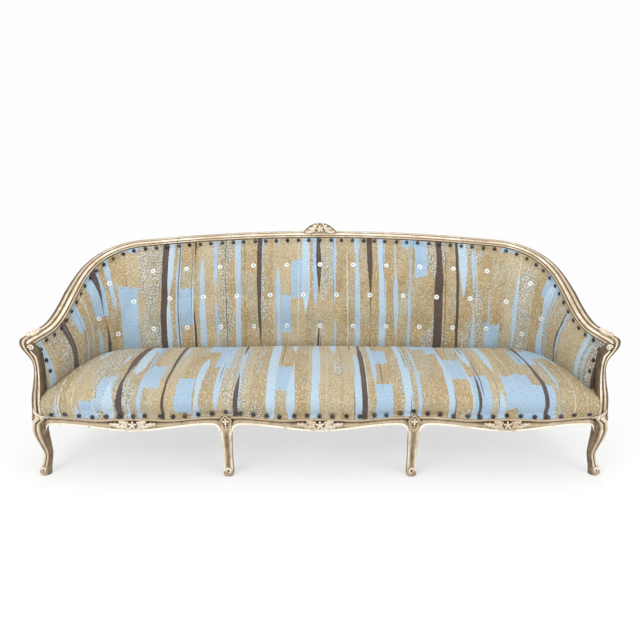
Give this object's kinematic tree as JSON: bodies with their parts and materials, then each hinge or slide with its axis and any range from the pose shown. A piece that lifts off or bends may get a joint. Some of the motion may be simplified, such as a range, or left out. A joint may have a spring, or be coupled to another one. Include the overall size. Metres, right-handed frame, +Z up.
{
  "type": "carved wood sofa",
  "caption": "Free-standing upholstered sofa with a curved back that sweeps down into the arms, a carved and moulded wood frame on curved legs, a tight sprung seat and a buttoned inside.",
  "frame": {"origin": "on the floor, under the middle of the overall box", "axes": "+X to the right as seen from the front, +Y to the back, +Z up; the front faces -Y"},
  "size_m": [2.3982, 0.786, 0.9756],
  "materials": {
    "carved_wood": "carved and moulded hardwood, cream and gold paint worn back to brown",
    "frame_wood": "bare beech, sawn and planed",
    "screw_steel": "plain wood screw",
    "webbing": "woven jute webbing",
    "spring_steel": "coppered spring wire",
    "hessian": "coarse jute hessian",
    "upholstery": "woven stripe in tan, pale blue and brown",
    "dust_cloth": "black bottoming cloth",
    "button_pearl": "pearl button",
    "nail_metal": "dark gunmetal domed nail head"
  },
  "bodies": {
    "root": {"crest_rail": "carved_wood", "wing_rail_left": "carved_wood", "wing_rail_right": "carved_wood", "arm_stump_left": "carved_wood", "arm_stump_right": "carved_wood", "front_corner_leg_left": "carved_wood", "front_corner_leg_right": "carved_wood", "front_mid_leg_left": "carved_wood", "front_mid_leg_right": "carved_wood", "rear_mid_leg_left": "carved_wood", "rear_mid_leg_right": "carved_wood", "rear_corner_leg_left": "carved_wood", "rear_corner_leg_right": "carved_wood", "front_rail_centre": "carved_wood", "front_rail_left": "carved_wood", "front_rail_right": "carved_wood", "rail_dowels": "frame_wood", "back_seat_rail_centre": "frame_wood", "back_seat_rail_left": "frame_wood", "back_seat_rail_right": "frame_wood", "lower_back_rail_centre": "frame_wood", "lower_back_rail_left": "frame_wood", "lower_back_rail_right": "frame_wood", "side_seat_rail_left": "frame_wood", "side_seat_rail_right": "frame_wood", "seat_bearer_left": "frame_wood", "seat_bearer_right": "frame_wood", "glue_blocks": "frame_wood", "block_screws": "screw_steel", "seat_webbing_cross": "webbing", "seat_webbing_long": "webbing", "back_webbing": "webbing", "seat_springs": "spring_steel", "spring_hessian": "hessian", "seat_pad": "upholstery", "inside_back": "upholstery", "inside_arm_left": "upholstery", "inside_arm_right": "upholstery", "outside_back": "upholstery", "outside_arm_left": "upholstery", "outside_arm_right": "upholstery", "dust_cover": "dust_cloth", "tuft_buttons": "button_pearl", "front_nails": "nail_metal", "back_nails": "nail_metal", "arm_nails_left": "nail_metal", "arm_nails_right": "nail_metal"}
  },
  "joints": []
}
